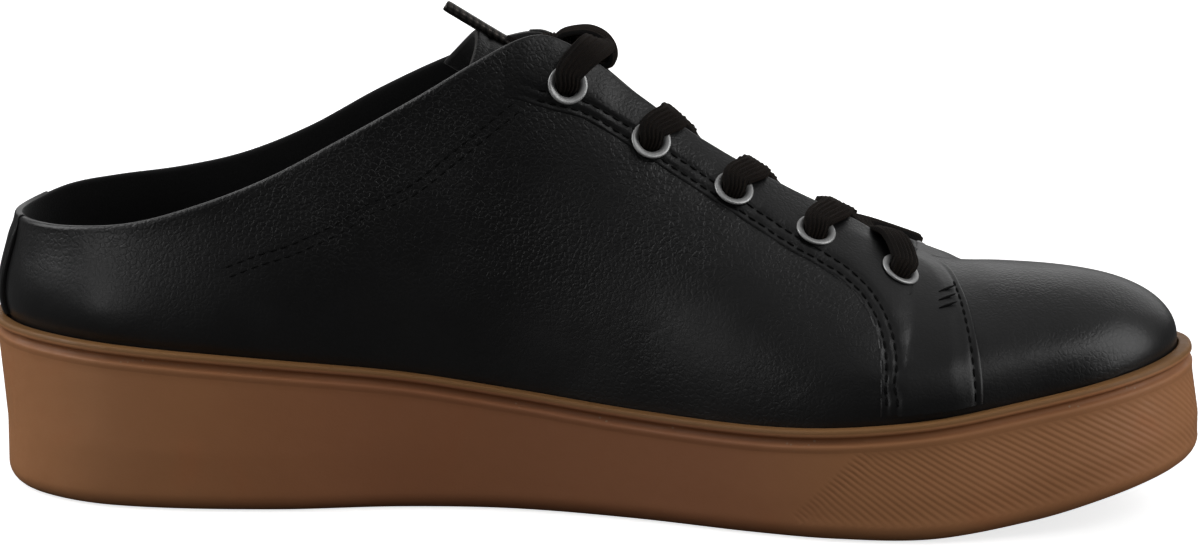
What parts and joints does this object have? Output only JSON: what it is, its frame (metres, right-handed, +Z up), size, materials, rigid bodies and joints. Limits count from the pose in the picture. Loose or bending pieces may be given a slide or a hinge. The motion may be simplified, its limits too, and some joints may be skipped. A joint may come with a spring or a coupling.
{
  "type": "mule",
  "caption": "Laced leather mule with an open back, a tongue, metal eyelets on two facings and a one-piece gum cup sole with a ribbed toe.",
  "frame": {"origin": "under the middle of the outsole's outline, on the floor", "axes": "+X towards the toe, +Y towards the outer side of the foot, +Z up"},
  "size_m": [0.2712, 0.0952, 0.1101],
  "materials": {
    "gum_rubber": "satin",
    "leather": "semi-gloss, fine pebbled grain",
    "lining": "matt",
    "eyelet_metal": "satin",
    "lace": "matt",
    "aglet": "gloss"
  },
  "bodies": {
    "root": {"outsole": "gum_rubber", "insole": "lining", "upper": "leather", "tongue": "leather", "backstay": "leather", "eyestay_inner": "leather", "eyelet_inner_1": "eyelet_metal", "eyelet_inner_2": "eyelet_metal", "eyelet_inner_3": "eyelet_metal", "eyelet_inner_4": "eyelet_metal", "eyelet_inner_5": "eyelet_metal", "eyestay_outer": "leather", "eyelet_outer_1": "eyelet_metal", "eyelet_outer_2": "eyelet_metal", "eyelet_outer_3": "eyelet_metal", "eyelet_outer_4": "eyelet_metal", "eyelet_outer_5": "eyelet_metal", "lace_crossing_1": "lace", "lace_crossing_2": "lace", "lace_crossing_3": "lace", "lace_crossing_4": "lace", "lace_knot": "lace", "lace_loop": "lace", "lace_rise_inner": "lace", "lace_rise_outer": "lace", "lace_end": "lace", "lace_aglet": "aglet"}
  },
  "joints": []
}
